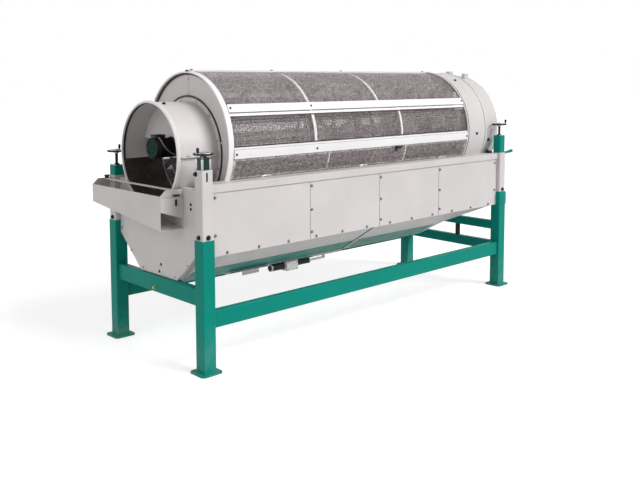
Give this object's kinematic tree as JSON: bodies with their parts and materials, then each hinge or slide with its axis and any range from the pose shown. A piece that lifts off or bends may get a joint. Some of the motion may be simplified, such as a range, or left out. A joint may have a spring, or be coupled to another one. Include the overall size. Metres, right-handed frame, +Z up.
{
  "type": "rotary seed cleaner",
  "caption": "Rotary drum seed cleaner: screen drum in a mesh guard over a hopper, on four square jack posts with handwheels, with a discharge collar and tray at one end.",
  "frame": {"origin": "on the floor, in the middle of the four feet's anchor holes", "axes": "+X along the drum to the feed end, -Y the side that the tray slopes to, +Z up"},
  "size_m": [3.838, 1.32, 2.066],
  "materials": {
    "green_paint": "satin",
    "grey_paint": "satin",
    "white_paint": "satin",
    "motor_paint": "satin",
    "black_steel": "satin",
    "dark_steel": "matte",
    "bright_steel": "brushed",
    "mesh_steel": "matte"
  },
  "bodies": {
    "machine": {"collar_lower": "grey_paint", "collar_upper": "grey_paint", "corner_post_front_far": "grey_paint", "corner_post_front_near": "grey_paint", "corner_post_rear_far": "grey_paint", "corner_post_rear_near": "grey_paint", "cross_beam_front": "green_paint", "cross_beam_rear_high": "green_paint", "cross_beam_rear_low": "green_paint", "discharge_tray": "grey_paint", "drive_motor": "motor_paint", "end_plate_lower": "grey_paint", "end_plate_upper": "grey_paint", "feed_housing": "grey_paint", "front_cover": "grey_paint", "front_rim": "grey_paint", "gate_actuator": "black_steel", "gearbox": "green_paint", "guard_frame": "white_paint", "guard_mesh_far": "mesh_steel", "guard_mesh_near": "mesh_steel", "guard_mesh_top": "mesh_steel", "hopper_end_walls": "grey_paint", "hopper_floor_plate": "grey_paint", "hopper_slope_far": "grey_paint", "hopper_slope_near": "grey_paint", "hopper_tail": "grey_paint", "jack_block_front_far": "green_paint", "jack_block_front_near": "green_paint", "jack_block_rear_far": "green_paint", "jack_block_rear_near": "green_paint", "leg_front_far": "green_paint", "leg_front_near": "green_paint", "leg_rear_far": "green_paint", "leg_rear_near": "green_paint", "motor_beam": "white_paint", "panel_joint_bars": "grey_paint", "rear_bearing_bracket": "black_steel", "rear_hood": "white_paint", "side_panels_far": "grey_paint", "side_panels_near": "grey_paint", "side_rail_far": "green_paint", "side_rail_near": "green_paint", "top_rail_far": "grey_paint", "top_rail_near": "grey_paint"},
    "drum": {"drum_shaft": "bright_steel", "drum_rings": "dark_steel", "drum_bars": "dark_steel", "drum_spiders": "dark_steel", "drum_outer_screen": "mesh_steel", "drum_inner_screen": "mesh_steel"},
    "handwheel_front_near": {"handwheel_front_near": "black_steel"},
    "handwheel_front_far": {"handwheel_front_far": "black_steel"},
    "handwheel_rear_near": {"handwheel_rear_near": "black_steel"},
    "handwheel_rear_far": {"handwheel_rear_far": "black_steel"},
    "access_door": {"access_door": "mesh_steel"},
    "tray_flap": {"tray_flap": "grey_paint"},
    "gate_front": {"gate_front": "bright_steel"},
    "gate_rear": {"gate_rear": "bright_steel", "actuator_rod": "bright_steel"}
  },
  "joints": [
    {"name": "drum_turn", "type": "hinge", "parent": "machine", "child": "drum", "pos_m": [0, 0, 1.52], "axis": [1, 0, 0], "continuous": true},
    {"name": "handwheel_front_near_turn", "type": "hinge", "parent": "machine", "child": "handwheel_front_near", "pos_m": [-1.71, -0.575, 1.45], "axis": [0, 0, 1], "continuous": true},
    {"name": "handwheel_front_far_turn", "type": "hinge", "parent": "machine", "child": "handwheel_front_far", "pos_m": [-1.71, 0.575, 1.45], "axis": [0, 0, 1], "continuous": true},
    {"name": "handwheel_rear_near_turn", "type": "hinge", "parent": "machine", "child": "handwheel_rear_near", "pos_m": [1.71, -0.575, 1.45], "axis": [0, 0, 1], "continuous": true},
    {"name": "handwheel_rear_far_turn", "type": "hinge", "parent": "machine", "child": "handwheel_rear_far", "pos_m": [1.71, 0.575, 1.45], "axis": [0, 0, 1], "continuous": true},
    {"name": "access_door_hinge", "type": "hinge", "parent": "machine", "child": "access_door", "pos_m": [0, -0.48419, 1.294], "axis": [1, 0, 0], "range_deg": [0, 60]},
    {"name": "tray_flap_hinge", "type": "hinge", "parent": "machine", "child": "tray_flap", "pos_m": [-1.81, -0.331, 1.184], "axis": [-1, 0, 0], "range_deg": [0, 50]},
    {"name": "gate_front_slide", "type": "slide", "parent": "machine", "child": "gate_front", "axis": [0, -1, 0], "range_m": [0, 0.25]},
    {"name": "gate_rear_slide", "type": "slide", "parent": "machine", "child": "gate_rear", "axis": [-1, 0, 0], "range_m": [0, 0.15]}
  ]
}
